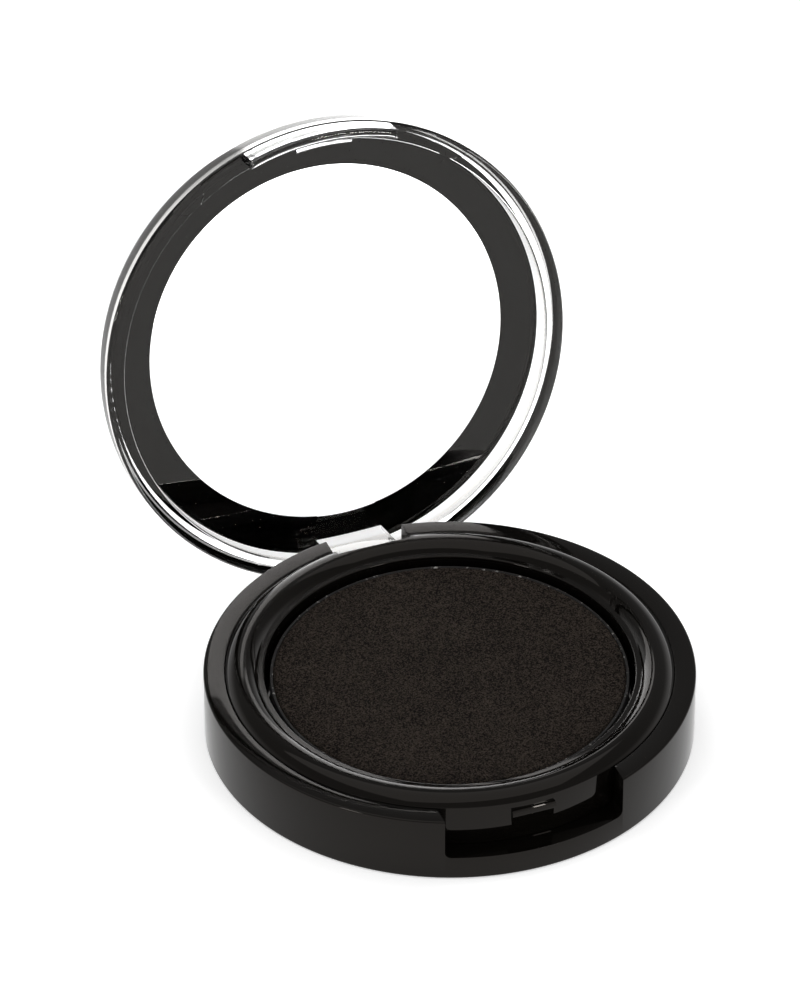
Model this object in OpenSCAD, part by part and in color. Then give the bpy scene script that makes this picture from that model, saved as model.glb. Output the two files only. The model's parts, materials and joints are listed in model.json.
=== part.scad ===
// Round single-pan eyeshadow compact with a clear hinged lid.
// Millimetres. Origin at the centre of the underside, Z up.
// The catch notch faces -Y and the hinge is at +Y. The lid is drawn open.

/* [Base] */
// Outside diameter of the base
base_d = 50; // [44:0.5:62]
// Height of the base from the table to the ledge the lid sits on
base_h = 7.2; // [6.4:0.1:10]
// Thickness of the base wall, which is also the width of the ledge
wall_t = 2.15; // [1.8:0.05:3]
// Thickness of the base floor
floor_t = 1.2; // [0.9:0.05:2]
// Radius on the bottom outer edge of the base
foot_r = 0.35; // [0.2:0.05:1.2]
// Radius on the top outer edge of the base
ledge_r = 0.2; // [0.05:0.05:0.5]

/* [Tray] */
// Gap all round between the tray and the base wall
tray_gap = 0.1; // [0.05:0.01:0.25]
// Width of the rounded bead round the tray
bead_w = 3.25; // [2.4:0.05:4.2]
// Height of the bead above the ledge
bead_h = 0.9; // [0.5:0.05:1.4]
// Width of the flat left outside the bead
bead_edge = 0.05; // [0.02:0.01:0.2]
// Width of the flat lip inside the bead
lip_w = 0.6; // [0.3:0.05:1]
// Radius on the inner edge of the lip
lip_r = 0.15; // [0.05:0.01:0.25]
// Thickness of the tray walls and top deck
tray_t = 1; // [0.7:0.05:1.3]
// Thickness of the tray floor under the pan
tray_floor_t = 0.9; // [0.6:0.05:1.2]

/* [Pan and powder] */
// Gap all round between the pan and the tray well
pan_gap = 0.6; // [0.2:0.05:1]
// Sheet thickness of the metal pan
pan_t = 0.3; // [0.2:0.05:0.5]
// Height of the pan
pan_h = 3.6; // [2.6:0.1:4.4]
// How far the pan rim sits below the ledge
pan_drop = 0.8; // [0.3:0.05:1.5]
// How far the pressed powder stands above the pan rim
powder_proud = 0.15; // [0:0.01:0.4]
// Width of the bevel round the powder
powder_bevel = 0.25; // [0.1:0.05:0.6]
// Gap between the powder and the pan wall
powder_gap = 0.02; // [0.01:0.01:0.05]
// Diameter of the glue disc under the pan
glue_d = 24; // [12:1:30]
// Thickness of the glue disc
glue_t = 0.1; // [0.05:0.01:0.2]

/* [Label] */
// Diameter of the recess for the underside label
recess_d = 40; // [30:1:44]
// Depth of the recess for the underside label
recess_deep = 0.2; // [0.1:0.05:0.4]
// Gap round the label inside its recess
label_gap = 0.75; // [0.3:0.05:2]
// Thickness of the label
label_t = 0.12; // [0.06:0.01:0.2]

/* [Hinge] */
// Distance of the hinge pin behind the outside of the base
pin_in = 2; // [1.7:0.05:2.4]
// Height of the hinge pin above the table
pin_z = 3.8; // [3.2:0.1:4.4]
// Diameter of the hinge pin
pin_d = 1.2; // [0.8:0.05:1.6]
// Length of the hinge pin
pin_len = 13; // [11:0.5:14]
// Radial gap between the pin and its seat in the base
pin_seat_gap = 0.01; // [0.01:0.01:0.03]
// Radial running gap between the pin and the lid knuckle
pin_run_gap = 0.05; // [0.03:0.01:0.1]
// Diameter of the lid knuckle round the pin
knuckle_d = 3.4; // [2.6:0.1:3.8]
// Width of the hinge tab of the lid
tab_w = 7.3; // [5:0.1:9]
// Gap on each side of the hinge tab in its slot
tab_side_gap = 0.55; // [0.2:0.05:1]
// Gap between the knuckle and the slot wall in front of it
tab_front_gap = 0.3; // [0.3:0.05:0.6]
// Height of the slot floor above the table
slot_floor = 1.3; // [1.2:0.05:1.8]
// Length of the ear beside the slot that holds one end of the pin
ear_l = 2.7; // [2:0.1:3.2]
// Wall left in front of the pin in each ear
ear_t = 0.5; // [0.3:0.05:0.8]
// Gap between the ears and the tray
ear_gap = 0.15; // [0.1:0.05:0.3]
// Angle the lid is opened from closed
open_angle = 104; // [60:1:110]

/* [Lid] */
// How far the lid rim stands out past the base
lid_over = 0.1; // [0:0.05:0.3]
// Gap between the closed lid rim and the ledge
lid_gap = 0.05; // [0.02:0.01:0.1]
// Height of the lid from rim to top face
lid_h = 4.3; // [3.6:0.1:6]
// Thickness of the lid top
lid_top_t = 1.8; // [1.2:0.1:2.4]
// Thickness of the lid wall at the rim
lid_wall_t = 1.9; // [1.4:0.05:2.1]
// How far the lid side leans in from rim to top
lid_lean = 0.65; // [0.2:0.05:1]
// Radius on the outer edge of the lid rim
rim_r = 0.35; // [0.1:0.05:0.6]
// Radius on the outer edge of the lid top
lid_top_r = 0.4; // [0.1:0.05:0.8]
// How far the wall leans in inside, from rim to lid floor
lid_draft = 0.1; // [0.05:0.05:0.3]
// Diameter of the clear window inside the black band
window_d = 38.8; // [30:0.2:42]
// Thickness of the black band
band_t = 0.1; // [0.05:0.01:0.2]
// Distance from the black band to the start of the rounded top edge
band_edge = 0.05; // [0:0.05:0.5]
// Depth of the relief in the rim beside the hinge tab
relief_h = 0.5; // [0.45:0.05:0.8]
// Half width of the relief in the rim
relief_half = 11; // [10.5:0.1:12]

/* [Catch] */
// Width of the thumb notch in the front wall
notch_w = 19; // [17.5:0.5:24]
// Depth of the thumb notch below the ledge
notch_deep = 4.5; // [3.6:0.1:5.2]
// Radius in the lower corners of the notch
notch_r = 0.6; // [0.2:0.05:1.2]
// Width of the latch bar on the lid
latch_w = 16.6; // [12:0.2:17]
// How far the latch bar hangs below the lid rim
latch_drop = 2.4; // [2.2:0.1:3]
// Thickness of the latch bar
latch_t = 1; // [0.7:0.05:1.1]
// How far the latch bar is set in from the lid rim
latch_in = 0.15; // [0.1:0.05:0.3]
// Radius on the lower edges and corners of the latch bar
latch_r = 0.4; // [0.1:0.05:0.45]
// Width of the snap rib inside the latch bar
snap_w = 6; // [4:0.5:8]
// Height of the snap rib
snap_h = 0.5; // [0.3:0.05:0.7]
// How far the snap rib stands in from the latch bar
snap_out = 0.45; // [0.3:0.05:0.5]
// Width of the catch rib on the tray
catch_w = 4.6; // [3:0.2:6]
// Depth of the top of the catch rib below the ledge
catch_deep = 0.75; // [0.6:0.05:0.9]
// Height of the catch rib
catch_h = 0.85; // [0.6:0.05:0.95]
// How far the catch rib stands out from the tray
catch_out = 0.45; // [0.3:0.05:0.5]
// Radius of the round moulding marks on the lid rim
mark_r = 2; // [1:0.1:2.5]
// Depth of the moulding marks
mark_deep = 0.06; // [0.03:0.01:0.1]
// Angle of each moulding mark from the middle of the latch
mark_angle = 35.7; // [30:0.1:60]

/* [Hidden] */
$fn = 96;
base_r = base_d / 2;
bore_r = base_r - wall_t;
tray_r = bore_r - tray_gap;
bead_in = tray_r - bead_edge - bead_w;
well_r = bead_in - lip_w;
bead_arc = (bead_w * bead_w / 4 + bead_h * bead_h) / (2 * bead_h);
bead_mid = bead_in + bead_w / 2;
pan_r = well_r - pan_gap;
pan_top = base_h - pan_drop;
pan_z = pan_top - pan_h;
glue_z = pan_z - glue_t;
tray_z = glue_z - tray_floor_t;
pin_y = base_r - pin_in;
knuckle_r = knuckle_d / 2;
pin_r = pin_d / 2;
slot_half = tab_w / 2 + tab_side_gap;
slot_front = pin_y - knuckle_r - tab_front_gap;
ear_front = pin_y - pin_r - ear_t;
ear_half = slot_half + ear_l;
ear_top = pin_z + pin_r + ear_t;
block_half = slot_half + tray_t;
notch_z = base_h - notch_deep;
lid_r = base_r + lid_over;
lid_z = base_h + lid_gap;
lid_in_r = lid_r - lid_wall_t;
lid_floor = lid_h - lid_top_t;
lid_flat_r = lid_r - lid_lean - lid_top_r;
band_r = lid_flat_r - band_edge;
latch_out_r = lid_r - latch_in;
latch_in_r = latch_out_r - latch_t;
// overlap used where two solids of one piece are joined
bite = 0.2;
// amount cutting tools pass through a surface
past = 1;
// number of straight steps in a small rounded edge
steps = 6;

// points along an arc round [x, z]
function arc(x, z, r, a0, a1) =
    [for (i = [0:steps]) let (a = a0 + (a1 - a0) * i / steps) [x + r * cos(a), z + r * sin(a)]];

// puts a lid shape, drawn closed with its rim at z = 0, into the open position
module opened() {
    translate([0, pin_y, pin_z])
        rotate([-open_angle, 0, 0])
            translate([0, -pin_y, lid_z - pin_z])
                children();
}

// stands a side profile (y outward, z up) along X over a given width
module along_x(w) {
    translate([-w / 2, 0, 0])
        rotate([90, 0, 90])
            linear_extrude(w) children();
}

// front profile (x, z) pushed through in Y between y0 and y1
module along_y(y0, y1) {
    translate([0, y1, 0])
        rotate([90, 0, 0])
            linear_extrude(y1 - y0) children();
}

module base_profile() {
    foot = arc(base_r - foot_r, foot_r, foot_r, -90, 0);
    top = arc(base_r - ledge_r, base_h - ledge_r, ledge_r, 0, 90);
    inside = [[bore_r, base_h], [bore_r, floor_t], [0, floor_t]];
    under = [[0, recess_deep], [recess_d / 2, recess_deep], [recess_d / 2, 0]];
    polygon(concat(under, foot, top, inside));
}

module notch_shape() {
    square_h = notch_deep + past;
    translate([-notch_w / 2, notch_z + notch_r])
        square([notch_w, square_h]);
    translate([-notch_w / 2 + notch_r, notch_z])
        square([notch_w - 2 * notch_r, square_h]);
    for (s = [-1, 1])
        translate([s * (notch_w / 2 - notch_r), notch_z + notch_r])
            circle(notch_r);
}

module base_shell() {
    color([0.03, 0.03, 0.03])
    difference() {
        union() {
            rotate_extrude() base_profile();
            intersection() {
                translate([-ear_half, ear_front, floor_t - bite])
                    cube([2 * ear_half, wall_t + pin_in, ear_top - floor_t + bite]);
                cylinder(h = base_h, r = bore_r + bite);
            }
        }
        along_y(-base_r - past, -bore_r / 2) notch_shape();
        translate([-slot_half, ear_front - past, slot_floor])
            cube([2 * slot_half, base_r, base_h]);
        translate([-pin_len / 2, pin_y, pin_z])
            rotate([0, 90, 0])
                cylinder(h = pin_len, r = pin_r + pin_seat_gap);
    }
}

module tray_profile() {
    translate([tray_r - tray_t, floor_t])
        square([tray_t, base_h - floor_t]);
    difference() {
        translate([well_r, base_h - tray_t])
            square([tray_r - well_r, tray_t]);
        translate([well_r, base_h - lip_r])
            difference() {
                translate([-past, 0]) square([lip_r + past, lip_r + past]);
                translate([lip_r, 0]) circle(lip_r);
            }
    }
    intersection() {
        translate([bead_mid, base_h + bead_h - bead_arc])
            circle(bead_arc);
        translate([bead_in - past, base_h])
            square([bead_w + 2 * past, bead_h + past]);
    }
    translate([well_r, tray_z])
        square([tray_t, base_h - tray_z - tray_t / 2]);
    translate([0, tray_z])
        square([well_r + tray_t, tray_floor_t]);
}

module catch_profile() {
    top = base_h - catch_deep;
    low = top - catch_h;
    root = -tray_r + tray_t / 2;
    tip = -tray_r - catch_out;
    polygon([[root, low], [tip + bite, low], [tip, low + bite], [tip, top - 2 * bite],
             [tip + bite, top], [root, top]]);
}

module inner_tray() {
    color([0.05, 0.05, 0.05])
    difference() {
        union() {
            rotate_extrude() tray_profile();
            intersection() {
                translate([-block_half, well_r, floor_t])
                    cube([2 * block_half, wall_t * 2, base_h - floor_t - bite]);
                cylinder(h = base_h, r = tray_r);
            }
            along_x(catch_w) catch_profile();
        }
        translate([-slot_half, slot_front, -past])
            cube([2 * slot_half, base_r, base_h + 2 * past + bead_h]);
        translate([-ear_half - ear_gap, ear_front - ear_gap, floor_t - past])
            cube([2 * (ear_half + ear_gap), base_r, ear_top + ear_gap - floor_t + past]);
    }
}

module pan_profile() {
    outer = arc(pan_r - 2 * pan_t, pan_z + 2 * pan_t, 2 * pan_t, -90, 0);
    inner = arc(pan_r - 2 * pan_t, pan_z + 2 * pan_t, pan_t, 0, -90);
    polygon(concat([[0, pan_z]], outer, [[pan_r, pan_top], [pan_r - pan_t, pan_top]],
                   inner, [[0, pan_z + pan_t]]));
}

module pan() {
    color([0.8, 0.8, 0.8])
    rotate_extrude() pan_profile();
}

module powder_cake() {
    r = pan_r - pan_t - powder_gap;
    low = pan_z + pan_t;
    top = pan_top + powder_proud;
    color([0.1, 0.09, 0.08])
    rotate_extrude()
        polygon([[0, low], [r - 2 * pan_t, low], [r, low + 2 * pan_t],
                 [r, top - powder_bevel], [r - powder_bevel, top], [0, top]]);
}

module pan_glue() {
    color([0.9, 0.88, 0.8])
    translate([0, 0, glue_z])
        cylinder(h = glue_t, d = glue_d);
}

module base_label() {
    color([0.92, 0.92, 0.9])
    translate([0, 0, recess_deep - label_t])
        cylinder(h = label_t, d = recess_d - 2 * label_gap);
}

module hinge_pin() {
    tip = pin_r / 4;
    color([0.7, 0.7, 0.72])
    translate([0, pin_y, pin_z])
        rotate([0, 90, 0])
            rotate_extrude()
                polygon([[0, -pin_len / 2], [pin_r - tip, -pin_len / 2], [pin_r, -pin_len / 2 + tip],
                         [pin_r, pin_len / 2 - tip], [pin_r - tip, pin_len / 2], [0, pin_len / 2]]);
}

module lid_profile() {
    rim = arc(lid_r - rim_r, rim_r, rim_r, -90, 0);
    edge = arc(lid_flat_r, lid_h - lid_top_r, lid_top_r, 0, 90);
    groove = [[band_r, lid_h], [band_r, lid_h - band_t], [window_d / 2, lid_h - band_t],
              [window_d / 2, lid_h], [0, lid_h]];
    inside = [[0, lid_floor], [lid_in_r - lid_draft, lid_floor], [lid_in_r, 0]];
    polygon(concat(rim, edge, groove, inside));
}

// side profile of the hinge tab, y outward from the pin
module tab_profile() {
    pin_down = pin_z - lid_z;
    translate([pin_y, pin_down])
        circle(knuckle_r);
    translate([pin_y - knuckle_r, pin_down])
        square([knuckle_d, lid_floor + bite - pin_down]);
}

module latch_profile() {
    translate([latch_in_r, latch_r - latch_drop])
        square([latch_t, latch_drop - latch_r + bite]);
    translate([latch_in_r + latch_r, -latch_drop])
        square([latch_t - 2 * latch_r, latch_drop]);
    for (x = [latch_in_r + latch_r, latch_out_r - latch_r])
        translate([x, latch_r - latch_drop])
            circle(latch_r);
}

// outline of the latch bar seen from the front
module latch_outline() {
    translate([-latch_w / 2, -latch_drop + latch_r])
        square([latch_w, latch_drop - latch_r + bite]);
    translate([-latch_w / 2 + latch_r, -latch_drop])
        square([latch_w - 2 * latch_r, latch_drop]);
    for (s = [-1, 1])
        translate([s * (latch_w / 2 - latch_r), -latch_drop + latch_r])
            circle(latch_r);
}

module snap_profile() {
    low = -latch_drop + latch_r;
    tip = latch_in_r - snap_out;
    polygon([[latch_in_r + bite, low], [tip + bite, low - bite], [tip, low],
             [tip + bite, low + snap_h - bite], [latch_in_r + bite, low + snap_h - bite]]);
}

module lid_shell() {
    color([0.85, 0.88, 0.9, 0.5])
    opened()
    difference() {
        union() {
            difference() {
                rotate_extrude() lid_profile();
                for (s = [-1, 1])
                    along_y(bore_r / 2, lid_r + past)
                        polygon([[s * (tab_w / 2 - bite), -past], [s * (tab_w / 2 - bite), relief_h],
                                 [s * relief_half, 0], [s * relief_half, -past]]);
                for (s = [-1, 1])
                    rotate([0, 0, s * mark_angle - 90])
                        translate([lid_r, 0, -past])
                            cylinder(h = past + mark_deep, r = mark_r);
            }
            along_x(tab_w) tab_profile();
            intersection() {
                rotate_extrude() latch_profile();
                along_y(-lid_r, 0) latch_outline();
            }
            intersection() {
                rotate_extrude() snap_profile();
                translate([-snap_w / 2, -lid_r, -latch_drop])
                    cube([snap_w, lid_r, latch_drop]);
            }
        }
        translate([-tab_w, pin_y, pin_z - lid_z])
            rotate([0, 90, 0])
                cylinder(h = 2 * tab_w, r = pin_r + pin_run_gap);
    }
}

module lid_band() {
    color([0.02, 0.02, 0.02])
    opened()
    translate([0, 0, lid_h - band_t])
        difference() {
            cylinder(h = band_t, r = band_r);
            translate([0, 0, -past]) cylinder(h = band_t + 2 * past, d = window_d);
        }
}

base_shell();
inner_tray();
pan();
powder_cake();
pan_glue();
base_label();
hinge_pin();
lid_shell();
lid_band();
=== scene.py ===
"""Round single-pan eyeshadow compact: the finished surfaces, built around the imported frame."""

import json
import math

import bmesh
import bpy
from mathutils import Matrix, Vector, noise


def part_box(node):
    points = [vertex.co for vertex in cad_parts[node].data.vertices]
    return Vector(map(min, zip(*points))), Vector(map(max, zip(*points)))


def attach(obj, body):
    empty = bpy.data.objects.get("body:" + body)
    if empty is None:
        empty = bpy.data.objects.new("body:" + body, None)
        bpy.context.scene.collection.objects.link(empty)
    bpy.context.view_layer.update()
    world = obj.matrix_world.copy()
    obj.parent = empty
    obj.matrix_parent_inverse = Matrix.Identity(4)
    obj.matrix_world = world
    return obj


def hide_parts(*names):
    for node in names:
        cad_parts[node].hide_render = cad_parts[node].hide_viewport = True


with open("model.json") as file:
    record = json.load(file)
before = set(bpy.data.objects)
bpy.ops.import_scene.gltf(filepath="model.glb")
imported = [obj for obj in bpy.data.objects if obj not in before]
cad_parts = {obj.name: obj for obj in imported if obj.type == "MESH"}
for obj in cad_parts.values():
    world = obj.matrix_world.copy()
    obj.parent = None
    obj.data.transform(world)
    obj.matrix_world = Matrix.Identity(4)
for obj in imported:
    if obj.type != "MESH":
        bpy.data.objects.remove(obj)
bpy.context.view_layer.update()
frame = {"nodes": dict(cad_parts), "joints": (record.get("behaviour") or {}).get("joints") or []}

MM = 0.001


def corners(node):
    """Lowest and highest corner of a CAD node, in millimetres."""
    low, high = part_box(node)
    return low / MM, high / MM


# ---------------------------------------------------------------- sizes, in millimetres and degrees
# The base stands on z = 0 with its thumb notch at -y and its hinge at +y.
BASE_HIGH = corners("base_shell")[1]
TRAY_HIGH = corners("inner_tray")[1]
PAN_LOW, PAN_HIGH = corners("pan")
CAKE_LOW, CAKE_HIGH = corners("powder_cake")
PIN_LOW, PIN_HIGH = corners("hinge_pin")

# base and its ledge
base_r = BASE_HIGH.x
base_h = BASE_HIGH.z
wall_t = 2.15          # wall, and so the width of the ledge
floor_t = 1.2
foot_r = 0.35          # rounding of the bottom outer edge
ledge_r = 0.2          # rounding of the ledge's outer edge
bore_edge_r = 0.06     # rounding of the ledge's inner edge
bore_r = base_r - wall_t
recess_r = 20.0        # recess for the label, under the base
recess_deep = 0.2
base_edge = 0.09       # rounding of every other sharp edge of the base

# tray
tray_gap = 0.1         # all round, to the wall of the base
tray_r = bore_r - tray_gap
tray_t = 1.0           # walls and deck
tray_floor = 1.8       # underside of the well
tray_floor_t = 0.9
bead_w = 3.25
bead_h = TRAY_HIGH.z - base_h
bead_edge = 0.05       # flat left outside the bead
bead_in = tray_r - bead_edge - bead_w
lip_w = 0.6            # flat lip inside the bead
lip_r = 0.15
well_r = bead_in - lip_w
tray_edge = 0.05       # rounding of every other sharp edge of the tray

# pan and powder
pan_gap = 0.6          # all round, to the well
pan_r = well_r - pan_gap
pan_low = PAN_LOW.z
pan_top = PAN_HIGH.z
pan_t = 0.3
pan_lip_r = 0.08
cake_gap = 0.02        # all round, to the wall of the pan
cake_r = pan_r - pan_t - cake_gap
cake_low = CAKE_LOW.z
cake_top = CAKE_HIGH.z
cake_bevel = 0.25      # broken edge round the powder's face
cake_foot = 0.6        # bevel round its underside, over the bend in the pan

# hinge
pin_y = (PIN_LOW.y + PIN_HIGH.y) / 2
pin_z = (PIN_LOW.z + PIN_HIGH.z) / 2
pin_r = (PIN_HIGH.z - PIN_LOW.z) / 2
pin_len = PIN_HIGH.x - PIN_LOW.x
pin_seat_gap = 0.01    # round the pin in the ears
pin_run_gap = 0.05     # round the pin in the lid's knuckle
knuckle_r = 1.7
tab_w = 7.3
slot_half = 4.2        # half the width of the slot for the tab
slot_front = 21.0
slot_floor = 1.3
ear_t = 0.5            # wall round the pin in each ear
ear_front = pin_y - pin_r - ear_t
ear_back = base_r - 0.3
ear_half = 6.9         # from the middle to the outer end of an ear
ear_top = pin_z + pin_r + ear_t
ear_gap = 0.15         # between the ears and the tray
block_half = slot_half + tray_t    # half the width of the block that closes the tray round the slot
block_in = 0.15        # how far that block is set in from the tray's outside
open_angle = frame["joints"][0]["range_deg"][1]

# lid, drawn closed with its rim at height 0
lid_over = 0.1         # how far it stands out past the base
lid_gap = 0.05         # between its rim and the ledge
lid_r = base_r + lid_over
lid_z = base_h + lid_gap
lid_h = 4.3
lid_top_t = 1.8
lid_wall_t = 1.9
lid_lean = 0.05        # how far the outside leans in, from rim to top
lid_draft = 0.1        # how far the inside does
rim_r = 0.35           # rounding of the rim's outer edge
rim_in_r = 0.08        # and of its inner edge
lid_top_r = 2.2        # rounding of the top's outer edge
lid_corner_r = 0.2     # fillet inside, between wall and window
lid_in_r = lid_r - lid_wall_t
lid_floor = lid_h - lid_top_t
lid_flat_r = lid_r - lid_lean - lid_top_r
band_in = 19.4         # radius of the clear window
band_out = lid_flat_r - 0.05
band_t = 0.1
coat_t = 0.04          # thickness of the black coat over the rounded edge
coat_turn = 63         # how far down that edge it stops: 90 is the flat top and 0 is the wall
relief_h = 0.5         # relief in the rim at each side of the tab
relief_half = 11.0
mark_r = 2.0           # round ejector marks on the rim
mark_deep = 0.06
mark_angle = 35.7      # of each mark, from the middle of the latch

# catch
notch_w = 19.0
notch_deep = 4.5
notch_z = base_h - notch_deep
notch_r = 0.6
latch_w = 16.6
latch_drop = 2.4       # how far the latch bar hangs below the rim
latch_t = 1.0
latch_r = 0.4          # rounding of its lower edges and corners
latch_in = 0.15        # how far it is set in from the outside of the lid
latch_out_r = lid_r - latch_in
latch_in_r = latch_out_r - latch_t
end_round = 0.35       # how far the moulding's rounding takes back each end of it
snap_w = 6.0           # snap rib, inside the latch bar
snap_h = 0.5
snap_out = 0.45
catch_w = 4.6          # catch rib, on the tray
catch_deep = 0.75
catch_h = 0.85
catch_out = 0.45
rib_root = 0.5         # how far the catch rib goes into the tray

# how the meshes are made
SIDES = 288            # straight steps round a full turn
HOLE_SIDES = 48        # and round a pin hole
BEVEL_STEPS = 3
PAST = 1.0             # how far a cutting tool passes through a surface
BITE = 0.2             # overlap where two solids of one piece are joined
SKIN = 0.01            # keeps two faces from lying in one plane


# ---------------------------------------------------------------- making meshes
def arc(x, z, radius, start, end, steps=6):
    """Points along an arc round (x, z), angles in degrees."""
    turns = [math.radians(start + (end - start) * i / steps) for i in range(steps + 1)]
    return [(x + radius * math.cos(t), z + radius * math.sin(t)) for t in turns]


def ring(bm, radius, z):
    """The points of one turn of a lathe. On the axis they are all the same point."""
    if radius < 1e-6:
        return [bm.verts.new((0, 0, z))] * SIDES
    turns = [2 * math.pi * i / SIDES for i in range(SIDES)]
    return [bm.verts.new((radius * math.cos(t), radius * math.sin(t), z)) for t in turns]


def join_rings(bm, rings):
    """Faces between each ring of points and the next."""
    for a, b in zip(rings, rings[1:]):
        if a[0] is a[1] and b[0] is b[1]:
            continue
        for i in range(SIDES):
            j = (i + 1) % SIDES
            bm.faces.new(dict.fromkeys((a[i], a[j], b[j], b[i])))


def piece_from(bm, name):
    """A new object, in millimetres for now, from a bmesh."""
    bmesh.ops.recalc_face_normals(bm, faces=bm.faces)
    mesh = bpy.data.meshes.new(name)
    bm.to_mesh(mesh)
    bm.free()
    obj = bpy.data.objects.new(name, mesh)
    bpy.context.scene.collection.objects.link(obj)
    return obj


def lathe(name, outline):
    """Turns a closed outline of (radius, height) points into a solid of revolution."""
    bm = bmesh.new()
    rings = [ring(bm, radius, z) for radius, z in outline]
    join_rings(bm, rings + rings[:1])
    return piece_from(bm, name)


def prism(name, outline, start, end, axis="Z"):
    """Pushes a closed outline from start to end along an axis.

    Its points are (x, y) for Z, (y, z) for X and (x, z) for Y.
    """
    place = {
        "Z": lambda p, t: (p[0], p[1], t),
        "X": lambda p, t: (t, p[0], p[1]),
        "Y": lambda p, t: (p[0], t, p[1]),
    }[axis]
    bm = bmesh.new()
    near = [bm.verts.new(place(p, start)) for p in outline]
    far = [bm.verts.new(place(p, end)) for p in outline]
    bm.faces.new(near)
    bm.faces.new(far[::-1])
    for i in range(len(outline)):
        j = (i + 1) % len(outline)
        bm.faces.new((near[i], near[j], far[j], far[i]))
    return piece_from(bm, name)


def block(low, high):
    """A cutting or joining block between two corners."""
    outline = [(low[0], low[1]), (high[0], low[1]), (high[0], high[1]), (low[0], high[1])]
    return prism("block", outline, low[2], high[2])


def disc(x, y, radius, start, end, axis="Z", steps=96):
    """A round cutting tool."""
    return prism("disc", arc(x, y, radius, 0, 360 - 360 / steps, steps - 1), start, end, axis)


def settle(piece):
    """Applies a piece's modifiers to its mesh."""
    seen = piece.evaluated_get(bpy.context.evaluated_depsgraph_get())
    mesh = bpy.data.meshes.new_from_object(seen)
    piece.modifiers.clear()
    piece.data = mesh
    return piece


def combine(piece, tool, how):
    """Joins a tool to a piece, cuts it out or keeps what they share. The tool is used up."""
    step = piece.modifiers.new(how.lower(), "BOOLEAN")
    step.operation = how
    step.solver = "EXACT"
    step.object = tool
    settle(piece)
    bpy.data.objects.remove(tool)
    return piece


def soften(piece, width, limit=35, steps=BEVEL_STEPS):
    """Rounds the edges that are sharper than limit degrees."""
    step = piece.modifiers.new("soften", "BEVEL")
    step.width = width
    step.segments = steps
    step.limit_method = "ANGLE"
    step.angle_limit = math.radians(limit)
    step.miter_outer = "MITER_ARC"
    step.use_clamp_overlap = True
    return settle(piece)


def to_frame(piece, matrix=None, smooth=32):
    """Scales a piece from millimetres into the frame and sets its smooth shading."""
    mesh = piece.data
    mesh.materials.clear()
    mesh.transform(Matrix.Scale(MM, 4) @ (matrix or Matrix.Identity(4)))
    mesh.shade_smooth()
    mesh.set_sharp_from_angle(angle=math.radians(smooth))
    return piece


def lid_opened():
    """Takes a lid shape drawn closed into the open position, in millimetres."""
    pin = Vector((0, pin_y, pin_z))
    turn = Matrix.Rotation(math.radians(-open_angle), 4, "X")
    return Matrix.Translation(pin) @ turn @ Matrix.Translation(Vector((0, 0, lid_z)) - pin)


# ---------------------------------------------------------------- materials
def colour(code, alpha=1.0):
    """An sRGB hex colour as linear RGBA."""
    parts = [int(code[i:i + 2], 16) / 255 for i in (1, 3, 5)]
    return tuple(c / 12.92 if c <= 0.04045 else ((c + 0.055) / 1.055) ** 2.4 for c in parts) + (alpha,)


def add(tree, kind, settings=None, **links):
    """One node: settings are its properties or sockets by name, links go from sockets to its inputs."""
    node = tree.nodes.new(kind)
    for name, value in (settings or {}).items():
        if isinstance(name, int) or name in node.inputs:
            node.inputs[name].default_value = value
        else:
            setattr(node, name, value)
    for name, source in links.items():
        key = int(name[1:]) if name[0] == "_" and name[1:].isdigit() else name.replace("_", " ")
        tree.links.new(source, node.inputs[key])
    return node


def new_material(name):
    """A material with its node tree, its shader and the object's own coordinates in metres."""
    mat = bpy.data.materials.new(name)
    mat.use_nodes = True
    tree = mat.node_tree
    shader = tree.nodes["Principled BSDF"]
    place = add(tree, "ShaderNodeTexCoord").outputs["Object"]
    return mat, tree, shader, place


def wear_marks(tree, place, length_mm, width_mm):
    """Hairline rubbing marks: long cells, stretched and turned two ways.

    Real ones are about 0.01 mm wide. They are drawn wider, so that they show.
    """
    long, wide = 1 / (length_mm * MM), 1 / (width_mm * MM)
    marks = None
    for turn in (0.6, 2.1):
        spread = add(tree, "ShaderNodeMapping", {"Rotation": (0.3, 0.2, turn), "Scale": (long, wide, long)},
                     Vector=place)
        cells = add(tree, "ShaderNodeTexNoise", {"Scale": 1.0, "Detail": 1.0}, Vector=spread.outputs["Vector"])
        thin = add(tree, "ShaderNodeMapRange", {"From Min": 0.68, "From Max": 0.76}, Value=cells.outputs["Fac"])
        one = thin.outputs["Result"]
        marks = one if marks is None else add(tree, "ShaderNodeMath", {"operation": "MAXIMUM"},
                                              _0=marks, _1=one).outputs[0]
    return marks


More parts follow.
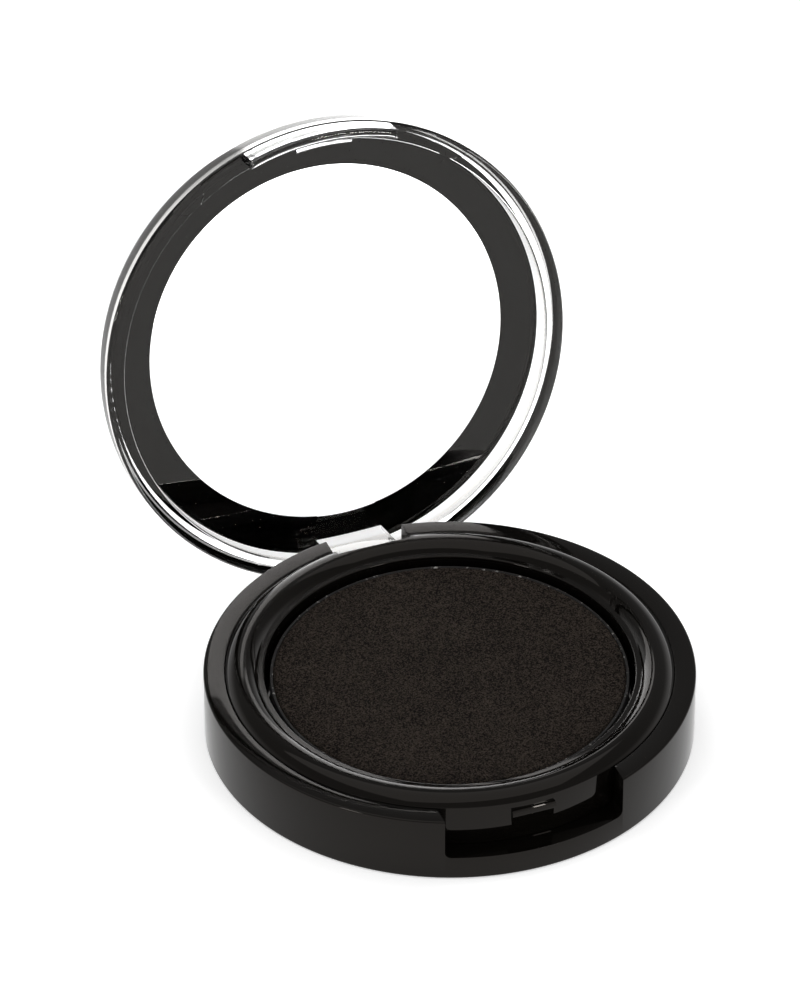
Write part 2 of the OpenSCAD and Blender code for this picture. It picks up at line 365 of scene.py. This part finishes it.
def black_moulded_abs():
    """Polished black ABS: deep black with a clear gloss, a faint flow ripple and hairline rubbing marks."""
    mat, tree, shader, place = new_material("black_moulded_abs")
    shader.inputs["IOR"].default_value = 1.53
    shader.inputs["Specular IOR Level"].default_value = 0.18
    shader.inputs["Specular Tint"].default_value = colour("#fff6ee")
    marks = wear_marks(tree, place, 6.0, 0.05)
    # soft clouds 7 mm across, as the pigment spreads in the melt
    cloud = add(tree, "ShaderNodeTexNoise", {"Scale": 1 / (7 * MM), "Detail": 3.0}, Vector=place)
    tone = add(tree, "ShaderNodeValToRGB", None, Fac=cloud.outputs["Fac"])
    tone.color_ramp.elements[0].color = colour("#040303")
    tone.color_ramp.elements[1].color = colour("#080705")
    tree.links.new(tone.outputs["Color"], shader.inputs["Base Color"])
    rub = add(tree, "ShaderNodeMapRange", {"To Min": 0.03, "To Max": 0.1}, Value=marks)
    haze = add(tree, "ShaderNodeMapRange", {"To Min": 0.0, "To Max": 0.03}, Value=cloud.outputs["Fac"])
    rough = add(tree, "ShaderNodeMath", {"operation": "ADD"}, _0=rub.outputs[0], _1=haze.outputs[0])
    tree.links.new(rough.outputs[0], shader.inputs["Roughness"])
    # the moulding's flow ripple, about 4 mm from crest to crest
    ripple = add(tree, "ShaderNodeTexNoise", {"Scale": 1 / (4 * MM), "Detail": 1.0}, Vector=place)
    bump = add(tree, "ShaderNodeBump", {"Strength": 0.12, "Distance": 0.02 * MM}, Height=ripple.outputs["Fac"])
    tree.links.new(bump.outputs["Normal"], shader.inputs["Normal"])
    return mat


def styrene(name, code, least, most):
    """Clear moulded styrene: water-clear and bright-edged, with a faint flow ripple.

    Its roughness runs from least, on the moulded skin, to most, along rubbing marks.
    """
    mat, tree, shader, place = new_material(name)
    shader.inputs["Base Color"].default_value = colour(code)
    shader.inputs["Transmission Weight"].default_value = 1.0
    shader.inputs["IOR"].default_value = 1.57
    shader.inputs["Specular Tint"].default_value = colour("#cecbc7")
    marks = wear_marks(tree, place, 5.0, 0.04)
    rub = add(tree, "ShaderNodeMapRange", {"To Min": least, "To Max": most}, Value=marks)
    tree.links.new(rub.outputs[0], shader.inputs["Roughness"])
    # the flow ripple, about 5 mm from crest to crest
    ripple = add(tree, "ShaderNodeTexNoise", {"Scale": 1 / (5 * MM), "Detail": 1.0}, Vector=place)
    bump = add(tree, "ShaderNodeBump", {"Strength": 0.05, "Distance": 0.02 * MM}, Height=ripple.outputs["Fac"])
    tree.links.new(bump.outputs["Normal"], shader.inputs["Normal"])
    return mat


def black_film():
    """Opaque black foil bonded to the lid: dense black, with a few pinhole specks."""
    mat, tree, shader, place = new_material("black_film")
    shader.inputs["IOR"].default_value = 1.5
    shader.inputs["Specular IOR Level"].default_value = 0.02
    shader.inputs["Roughness"].default_value = 0.12
    # one speck of about 0.1 mm in each cell of 1.6 mm
    specks = add(tree, "ShaderNodeTexVoronoi", {"Scale": 1 / (1.6 * MM)}, Vector=place)
    near = add(tree, "ShaderNodeMapRange", {"From Min": 0.05, "From Max": 0.03, "To Max": 1.0},
               Value=specks.outputs["Distance"])
    tone = add(tree, "ShaderNodeMix",
               {"data_type": "RGBA", 6: colour("#020202"), 7: colour("#4c4a47")}, Factor=near.outputs["Result"])
    tree.links.new(tone.outputs[2], shader.inputs["Base Color"])
    return mat


def pressed_powder():
    """Pressed mineral powder: dead matt brown-black, speckled by its crushed grains; the lighter specks are partly
    the grains' own tone and partly painted mica glints.
    """
    mat, tree, shader, place = new_material("pressed_powder")
    shader.inputs["Specular IOR Level"].default_value = 0.04
    shader.inputs["Roughness"].default_value = 0.85
    # real grains are under 0.05 mm: they are drawn at 0.15 mm, so that they show
    grain_and_painted_glint = add(tree, "ShaderNodeTexNoise", {"Scale": 1 / (0.15 * MM), "Detail": 2.0, "Roughness": 0.6},
                Vector=place)
    # slow changes of tone, 5 mm across, where the press packed it unevenly
    cloud = add(tree, "ShaderNodeTexNoise", {"Scale": 1 / (5 * MM), "Detail": 2.0}, Vector=place)
    faint = add(tree, "ShaderNodeMath", {"operation": "MULTIPLY", 1: 0.08}, _0=cloud.outputs["Fac"])
    total = add(tree, "ShaderNodeMath", {"operation": "ADD"}, _0=grain_and_painted_glint.outputs["Fac"], _1=faint.outputs[0])
    # the lighter specks are lighter grains and also painted highlights: mica glints painted into the base colour
    tone = add(tree, "ShaderNodeValToRGB", None, Fac=total.outputs[0])
    dark, light = tone.color_ramp.elements
    dark.position, dark.color = 0.44, colour("#070606")
    light.position, light.color = 0.68, colour("#3d3630")
    tree.links.new(tone.outputs["Color"], shader.inputs["Base Color"])
    bump = add(tree, "ShaderNodeBump", {"Strength": 0.9, "Distance": 0.06 * MM}, Height=grain_and_painted_glint.outputs["Fac"])
    tree.links.new(bump.outputs["Normal"], shader.inputs["Normal"])
    return mat


def pressed_aluminium():
    """Thin pressed aluminium with powder rubbed over it: bright only where the dust has come off."""
    mat, tree, shader, place = new_material("pressed_aluminium")
    # patches of dust, 0.5 mm across
    dust = add(tree, "ShaderNodeTexNoise", {"Scale": 1 / (0.5 * MM), "Detail": 3.0}, Vector=place)
    bare = add(tree, "ShaderNodeMapRange", {"From Min": 0.62, "From Max": 0.72}, Value=dust.outputs["Fac"])
    tone = add(tree, "ShaderNodeMix",
               {"data_type": "RGBA", 6: colour("#100e0d"), 7: colour("#a9a6a2")}, Factor=bare.outputs["Result"])
    tree.links.new(tone.outputs[2], shader.inputs["Base Color"])
    tree.links.new(bare.outputs["Result"], shader.inputs["Metallic"])
    rough = add(tree, "ShaderNodeMapRange", {"To Min": 0.8, "To Max": 0.3}, Value=bare.outputs["Result"])
    tree.links.new(rough.outputs["Result"], shader.inputs["Roughness"])
    return mat


def drawn_steel():
    """Drawn steel wire: bright grey with lines along its length."""
    mat, tree, shader, place = new_material("drawn_steel")
    shader.inputs["Metallic"].default_value = 1.0
    shader.inputs["Base Color"].default_value = colour("#b9b9bb")
    # die lines 4 mm long and 0.08 mm apart
    along = add(tree, "ShaderNodeMapping", {"Scale": (1 / (4 * MM), 1 / (0.08 * MM), 1 / (0.08 * MM))}, Vector=place)
    lines = add(tree, "ShaderNodeTexNoise", {"Scale": 1.0, "Detail": 2.0}, Vector=along.outputs["Vector"])
    rough = add(tree, "ShaderNodeMapRange", {"To Min": 0.2, "To Max": 0.4}, Value=lines.outputs["Fac"])
    tree.links.new(rough.outputs["Result"], shader.inputs["Roughness"])
    return mat


def hot_melt_glue():
    """Hot-melt glue: milky, soft-edged and slightly glossy."""
    mat, tree, shader, place = new_material("hot_melt_glue")
    shader.inputs["Roughness"].default_value = 0.35
    # milky clouds 3 mm across
    cloud = add(tree, "ShaderNodeTexNoise", {"Scale": 1 / (3 * MM), "Detail": 2.0}, Vector=place)
    tone = add(tree, "ShaderNodeValToRGB", None, Fac=cloud.outputs["Fac"])
    tone.color_ramp.elements[0].color = colour("#cfc7a8")
    tone.color_ramp.elements[1].color = colour("#ebe6d2")
    tree.links.new(tone.outputs["Color"], shader.inputs["Base Color"])
    return mat


def label_paper():
    """Coated label paper, blank: flat white with a faint fibre tooth."""
    mat, tree, shader, place = new_material("label_paper")
    shader.inputs["Roughness"].default_value = 0.55
    # real fibres are about 0.02 mm wide: they are drawn at 0.3 mm, so that they show
    fibre = add(tree, "ShaderNodeTexNoise", {"Scale": 1 / (0.3 * MM), "Detail": 4.0}, Vector=place)
    tone = add(tree, "ShaderNodeValToRGB", None, Fac=fibre.outputs["Fac"])
    tone.color_ramp.elements[0].color = colour("#e6e4de")
    tone.color_ramp.elements[1].color = colour("#f4f3ef")
    tree.links.new(tone.outputs["Color"], shader.inputs["Base Color"])
    bump = add(tree, "ShaderNodeBump", {"Strength": 0.2, "Distance": 0.02 * MM}, Height=fibre.outputs["Fac"])
    tree.links.new(bump.outputs["Normal"], shader.inputs["Normal"])
    return mat


def stage_paper():
    """Matt white paper on a light table, lit a little from below so that it stays even."""
    mat, tree, shader, place = new_material("stage_paper")
    shader.inputs["Base Color"].default_value = colour("#fafafa")
    shader.inputs["Roughness"].default_value = 1.0
    shader.inputs["Emission Color"].default_value = colour("#ffffff")
    shader.inputs["Emission Strength"].default_value = 0.44
    shader.inputs["Specular IOR Level"].default_value = 0.0
    return mat


# ---------------------------------------------------------------- base
def base_cup():
    """The moulded cup: wall, ledge, recessed underside, thumb notch, hinge slot and pin ears."""
    outline = [(0, recess_deep), (recess_r, recess_deep), (recess_r, 0)]
    outline += arc(base_r - foot_r, foot_r, foot_r, -90, 0, 8)
    outline += arc(base_r - ledge_r, base_h - ledge_r, ledge_r, 0, 90, 5)
    outline += arc(bore_r + bore_edge_r, base_h - bore_edge_r, bore_edge_r, 90, 180, 3)
    outline += [(bore_r, floor_t), (0, floor_t)]
    cup = lathe("base_cup", outline)
    ears = block((-ear_half, ear_front, floor_t - BITE), (ear_half, ear_back, ear_top))
    combine(ears, disc(0, 0, bore_r + BITE, 0, base_h, steps=SIDES), "INTERSECT")
    combine(cup, ears, "UNION")
    half, low = notch_w / 2, notch_z
    opening = arc(-half + notch_r, low + notch_r, notch_r, 180, 270, 5)
    opening += arc(half - notch_r, low + notch_r, notch_r, 270, 360, 5)
    opening += [(half, base_h + PAST), (-half, base_h + PAST)]
    combine(cup, prism("notch", opening, -base_r - PAST, -bore_r / 2, "Y"), "DIFFERENCE")
    slot = block((-slot_half, ear_front - PAST, slot_floor), (slot_half, base_r + PAST, base_h + PAST))
    combine(cup, slot, "DIFFERENCE")
    seat = disc(pin_y, pin_z, pin_r + pin_seat_gap, -pin_len / 2, pin_len / 2, "X", HOLE_SIDES)
    combine(cup, seat, "DIFFERENCE")
    soften(cup, base_edge)
    return to_frame(cup)


def tray():
    """The insert: bead, lip, well and the back wall of the thumb notch with its catch rib."""
    arc_r = (bead_w ** 2 / 4 + bead_h ** 2) / (2 * bead_h)
    reach = math.degrees(math.asin(bead_w / 2 / arc_r))
    middle = bead_in + bead_w / 2
    outline = [(0, tray_floor), (well_r + tray_t, tray_floor), (well_r + tray_t, base_h - tray_t)]
    outline += [(tray_r - tray_t, base_h - tray_t), (tray_r - tray_t, floor_t), (tray_r, floor_t)]
    outline += [(tray_r, base_h)]
    outline += arc(middle, base_h + bead_h - arc_r, arc_r, 90 - reach, 90 + reach, 24)
    outline += arc(well_r + lip_r, base_h - lip_r, lip_r, 90, 180, 5)
    outline += [(well_r, tray_floor + tray_floor_t), (0, tray_floor + tray_floor_t)]
    insert = lathe("tray", outline)
    back = block((-block_half, well_r + SKIN, floor_t + SKIN), (block_half, tray_r - block_in, base_h - BITE))
    combine(insert, back, "UNION")
    top = base_h - catch_deep
    low = top - catch_h
    root, tip = -tray_r + rib_root, -tray_r - catch_out
    rib = [(root, low), (tip + BITE, low), (tip, low + BITE),
           (tip, top - 2 * BITE), (tip + BITE, top), (root, top)]
    combine(insert, prism("rib", rib, -catch_w / 2, catch_w / 2, "X"), "UNION")
    slot = block((-slot_half, slot_front, -PAST), (slot_half, base_r, base_h + PAST + bead_h))
    combine(insert, slot, "DIFFERENCE")
    room = block((-ear_half - ear_gap, ear_front - ear_gap, -PAST), (ear_half + ear_gap, base_r, ear_top + ear_gap))
    combine(insert, room, "DIFFERENCE")
    soften(insert, tray_edge, 40)
    return to_frame(insert, smooth=40)


def metal_pan():
    """The pressed pan: a thin cup with a bend at its foot and a rounded rim."""
    bend = 2 * pan_t
    outline = [(0, pan_low)]
    outline += arc(pan_r - bend, pan_low + bend, bend, -90, 0, 5)
    outline += arc(pan_r - pan_lip_r, pan_top - pan_lip_r, pan_lip_r, 0, 90, 3)
    outline += arc(pan_r - pan_t + pan_lip_r, pan_top - pan_lip_r, pan_lip_r, 90, 180, 3)
    outline += arc(pan_r - bend, pan_low + bend, pan_t, 0, -90, 4)
    outline += [(0, pan_low + pan_t)]
    return to_frame(lathe("metal_pan", outline))


def powder():
    """The pressed cake: its face is a fine crushed texture, and its edge is slightly broken."""
    steps = 150                            # rings of points, a little closer together towards the edge
    sunk, uneven = 0.04, 0.025             # the face's mean depth, and how far it goes up and down
    per_mm, edge_per_mm = 2.2, 1.7         # how fine the unevenness and the crumbling are
    bm = bmesh.new()
    rows = [ring(bm, 0, cake_top - sunk)]
    for step in range(1, steps + 1):
        row = ring(bm, cake_r * (step / steps) ** 0.9, cake_top)
        for point in row:
            x, y = point.co.xy
            edge = max(0.0, math.hypot(x, y) - (cake_r - cake_bevel)) / cake_bevel
            rough = noise.fractal(Vector((x, y, 0)) * per_mm, 1.0, 2.0, 3)
            crumble = 0.5 + 0.5 * noise.noise(Vector((x, y, 7.0)) * edge_per_mm)
            drop = sunk + uneven * rough + cake_bevel * edge ** 2 * (0.5 + 0.5 * crumble)
            point.co.z = cake_top - max(0.0, drop)
        rows.append(row)
    rows += [ring(bm, cake_r, cake_low + cake_foot), ring(bm, cake_r - cake_foot, cake_low), ring(bm, 0, cake_low)]
    join_rings(bm, rows)
    return to_frame(piece_from(bm, "powder"), smooth=60)


# ---------------------------------------------------------------- lid
def is_outer_wall(face):
    """The moulded outside of the lid's wall, which is satin where the rest is polished."""
    x, y, z = face.center
    near_outside = math.hypot(x, y) > lid_r - lid_lean - 0.1
    between_rim_and_top = rim_r - BITE < z < lid_h - BITE
    upright = abs(face.normal.z) < 0.6
    return near_outside and between_rim_and_top and upright


def latch_bar():
    """The bar that hangs from the front of the lid into the thumb notch, with its lower corners rounded."""
    outline = arc(latch_out_r - latch_r, latch_r - latch_drop, latch_r, -90, 0, 5)
    outline += [(latch_out_r, PAST), (latch_in_r, PAST)]
    outline += arc(latch_in_r + latch_r, latch_r - latch_drop, latch_r, 180, 270, 5)
    bar = lathe("bar", outline)
    half = latch_w / 2 - end_round
    front = arc(-half + latch_r, latch_r - latch_drop, latch_r, 180, 270, 5)
    front += arc(half - latch_r, latch_r - latch_drop, latch_r, 270, 360, 5)
    front += [(half, PAST), (-half, PAST)]
    combine(bar, prism("front", front, -lid_r - PAST, 0, "Y"), "INTERSECT")
    return soften(bar, latch_r, 50, 5)


def snap_rib():
    """The small rib inside the latch bar that snaps under the catch rib."""
    low, tip = latch_r - latch_drop, latch_in_r - snap_out
    outline = [(latch_in_r + BITE, low), (tip + BITE, low - BITE), (tip, low),
               (tip + BITE, low + snap_h - BITE), (latch_in_r + BITE, low + snap_h - BITE)]
    rib = lathe("snap", outline)
    return combine(rib, block((-snap_w / 2, -lid_r, -latch_drop), (snap_w / 2, 0, 0)), "INTERSECT")


def clear_lid():
    """The clear moulding: window and wall, with its hinge tab, latch bar and snap rib."""
    outline = arc(lid_r - rim_r, rim_r, rim_r, -90, 0, 8)
    outline += arc(lid_flat_r, lid_h - lid_top_r, lid_top_r, 0, coat_turn, 12)
    outline += arc(lid_flat_r, lid_h - lid_top_r, lid_top_r - coat_t, coat_turn, 90, 5)
    outline += [(band_out, lid_h - coat_t), (band_out, lid_h - band_t), (band_in, lid_h - band_t), (band_in, lid_h)]
    outline += [(0, lid_h), (0, lid_floor)]
    corner = lid_in_r - lid_draft - lid_corner_r
    outline += arc(corner, lid_floor - lid_corner_r, lid_corner_r, 90, 0, 5)
    outline += arc(lid_in_r + rim_in_r, rim_in_r, rim_in_r, 180, 270, 4)
    lid = lathe("clear_lid", outline)
    for side in (-1, 1):
        inner = side * (tab_w / 2 - BITE)
        relief = [(inner, -PAST), (inner, relief_h), (side * relief_half, 0), (side * relief_half, -PAST)]
        combine(lid, prism("relief", relief, bore_r / 2, lid_r + PAST, "Y"), "DIFFERENCE")
        turn = math.radians(side * mark_angle - 90)
        mark = disc(lid_r * math.cos(turn), lid_r * math.sin(turn), mark_r, -PAST, mark_deep)
        combine(lid, mark, "DIFFERENCE")
    pin_down = pin_z - lid_z
    tab = arc(pin_y, pin_down, knuckle_r, 180, 360, 24)
    tab += [(pin_y + knuckle_r, lid_floor + BITE), (pin_y - knuckle_r, lid_floor + BITE)]
    combine(lid, prism("tab", tab, -tab_w / 2, tab_w / 2, "X"), "UNION")
    combine(lid, latch_bar(), "UNION")
    combine(lid, snap_rib(), "UNION")
    combine(lid, disc(pin_y, pin_down, pin_r + pin_run_gap, -tab_w, tab_w, "X", HOLE_SIDES), "DIFFERENCE")
    satin = [face.index for face in lid.data.polygons if is_outer_wall(face)]
    to_frame(lid, lid_opened())
    for index in satin:
        lid.data.polygons[index].material_index = 1
    return lid


def lid_foil():
    """The black ring in the lid's groove and its coat over the edge, bonded to the clear plastic
    with no air between."""
    outline = [(band_in - SKIN, lid_h - band_t - SKIN), (band_out + SKIN, lid_h - band_t - SKIN)]
    outline += arc(lid_flat_r, lid_h - lid_top_r, lid_top_r - coat_t - SKIN, 90, coat_turn, 5)
    outline += arc(lid_flat_r, lid_h - lid_top_r, lid_top_r, coat_turn, 90, 5)
    outline += [(band_in - SKIN, lid_h)]
    return to_frame(lathe("lid_foil", outline), lid_opened())


# ---------------------------------------------------------------- pieces and bodies
abs_black = black_moulded_abs()
lid_clear = [styrene("clear_styrene", "#fdfdfd", 0.0, 0.05), styrene("satin_styrene", "#e6e3df", 0.16, 0.22)]
MADE = [
    # make, materials, body, CAD node it stands for, slot
    (base_cup, [abs_black], "base", "base_shell", "black_plastic"),
    (tray, [abs_black], "base", "inner_tray", "tray_plastic"),
    (metal_pan, [pressed_aluminium()], "base", "pan", "pan_metal"),
    (powder, [pressed_powder()], "base", "powder_cake", "pressed_powder"),
    (clear_lid, lid_clear, "lid", "lid_shell", "clear_plastic"),
    (lid_foil, [black_film()], "lid", "lid_band", "black_print"),
]
for make, materials, body, node, slot in MADE:
    piece = make()
    for material in materials:
        piece.data.materials.append(material)
    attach(piece, body)
    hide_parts(node)

# the hidden pieces keep their CAD shapes
for node, material in (("hinge_pin", drawn_steel()), ("pan_glue", hot_melt_glue()), ("base_label", label_paper())):
    frame["nodes"][node].material_slots[0].material = material


# ---------------------------------------------------------------- stage, light and camera, in metres and watts
def stage_floor():
    """A plain white sheet, just under the compact's foot."""
    half, under = 3.0, 0.00002
    bm = bmesh.new()
    bm.faces.new([bm.verts.new((x * half, y * half, 0)) for x, y in ((-1, -1), (1, -1), (1, 1), (-1, 1))])
    floor = piece_from(bm, "floor")
    floor.data.materials.append(stage_paper())
    floor.location.z = -under


def soft_light(name, place, size, power, target=(0, 0, 0.01)):
    """A soft box at a place, turned towards its target."""
    data = bpy.data.lights.new(name, "AREA")
    data.shape = "RECTANGLE"
    data.size, data.size_y = size
    data.energy = power
    lamp = bpy.data.objects.new(name, data)
    bpy.context.scene.collection.objects.link(lamp)
    lamp.location = place
    lamp.rotation_euler = (Vector(target) - Vector(place)).to_track_quat("-Z", "Y").to_euler()


def studio():
    """A pale surround that is brightest near the floor, a broad soft box overhead, two small
    soft boxes low in front and a card behind the lid."""
    world = bpy.data.worlds.new("soft_white")
    world.use_nodes = True
    tree = world.node_tree
    place = add(tree, "ShaderNodeTexCoord").outputs["Generated"]
    height = add(tree, "ShaderNodeSeparateXYZ", None, Vector=place).outputs["Z"]
    fall = add(tree, "ShaderNodeMapRange", {"From Min": 0.15, "From Max": 0.45, "To Min": 1.0, "To Max": 0.38},
               Value=height)
    tree.links.new(fall.outputs["Result"], tree.nodes["Background"].inputs["Color"])
    bpy.context.scene.world = world
    soft_light("overhead", place=(0, 0, 1.6), size=(2.0, 2.0), power=10.0)
    soft_light("front_right", place=(0.28, -0.72, 0.22), size=(0.12, 0.12), power=1.0)
    soft_light("front_left", place=(-0.69, -0.35, 0.22), size=(0.12, 0.12), power=1.0)
    # a small card behind the open lid, at its height, that brightens its clear edges
    card_x, card_z = 0.016, 0.0355
    soft_light("card", place=(card_x, 0.08, card_z), size=(0.046, 0.071), power=0.029, target=(card_x, 0, card_z))


def camera():
    """Looks down on the compact from the front and a little to its left, with a long lens."""
    data = bpy.data.cameras.new("camera")
    data.lens = 253.5
    data.sensor_width = 36
    data.clip_start, data.clip_end = 0.01, 20
    cam = bpy.data.objects.new("camera", data)
    bpy.context.scene.collection.objects.link(cam)
    look = Vector((0.2887, 0.7521, -0.5925))
    cam.location = Vector((-206.0, -522.6, 441.8)) * MM
    cam.rotation_euler = look.to_track_quat("-Z", "Y").to_euler()
    bpy.context.scene.camera = cam


stage_floor()
studio()
camera()
bpy.context.scene.view_settings.view_transform = "Standard"
